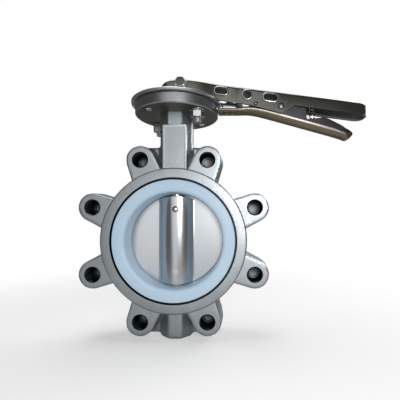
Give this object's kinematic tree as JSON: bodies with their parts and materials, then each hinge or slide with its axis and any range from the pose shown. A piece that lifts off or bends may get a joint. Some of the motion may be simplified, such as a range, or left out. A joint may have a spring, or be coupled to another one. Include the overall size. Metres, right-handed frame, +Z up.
{
  "type": "lug butterfly valve",
  "caption": "Lug-type butterfly valve with a cast body, pale lined seat, closed disc and a long pressed hand lever whose squeeze trigger unlatches it from a notch plate.",
  "frame": {"origin": "where the pipe axis meets the stem axis, in the middle of the face-to-face length", "axes": "+Y along the pipe, from the side in the picture to the far side; +Z up the stem to the lever; +X along the lever with the disc closed"},
  "size_m": [0.3041, 0.0968, 0.2744],
  "materials": {
    "cast_stainless": "blasted casting, warm grey",
    "machined_stainless": "fine turned and polished",
    "ptfe": "smooth, slightly waxy, pale blue-white",
    "elastomer": "matt black",
    "bearing_plastic": "filled plastic, matt",
    "plate_sheet": "dull rolled sheet",
    "lever_sheet": "pressed sheet, dark olive reflection",
    "trigger_sheet": "pressed sheet, brown-olive reflection",
    "bright_fastener": "bright"
  },
  "bodies": {
    "valve": {"valve_body": "cast_stainless", "seat_liner": "ptfe", "seat_backing": "elastomer", "neck_bush": "bearing_plastic", "boss_bush": "bearing_plastic", "gland_bush": "bearing_plastic", "packing_ring_1": "ptfe", "packing_ring_2": "ptfe", "packing_ring_3": "ptfe", "thrust_pad": "bearing_plastic", "retaining_ring": "bright_fastener", "notch_plate": "plate_sheet", "plate_screw_1": "bright_fastener", "plate_screw_2": "bright_fastener", "plate_screw_3": "bright_fastener", "plate_screw_4": "bright_fastener", "plate_washer_2": "bright_fastener", "plate_washer_4": "bright_fastener", "plate_nut_2": "bright_fastener", "plate_nut_4": "bright_fastener"},
    "lever_and_disc": {"stem": "machined_stainless", "disc": "machined_stainless", "disc_pin_upper": "bright_fastener", "disc_pin_lower": "bright_fastener", "lever": "lever_sheet", "lever_hub": "cast_stainless", "head_bolt": "bright_fastener", "head_washer_near": "bright_fastener", "head_washer_far": "bright_fastener", "head_nut": "bright_fastener", "pivot_pin": "bright_fastener", "pivot_clip": "bright_fastener", "stop_pin": "bright_fastener", "trigger_spring": "bright_fastener"},
    "trigger_latch": {"trigger": "trigger_sheet", "latch_tooth": "bright_fastener", "tooth_rivet_1": "bright_fastener", "tooth_rivet_2": "bright_fastener", "spring_peg": "bright_fastener"}
  },
  "joints": [
    {"name": "lever_turn", "type": "hinge", "parent": "valve", "child": "lever_and_disc", "pos_m": [0, 0, 0], "axis": [0, 0, 1], "range_deg": [0, 90]},
    {"name": "trigger_squeeze", "type": "hinge", "parent": "lever_and_disc", "child": "trigger_latch", "pos_m": [0.112, 0, 0.143], "axis": [0, -1, 0], "range_deg": [0, 10], "stiffness_Nm_per_rad": 6, "springref_deg": -8.59, "deforming": ["trigger_spring"]}
  ]
}
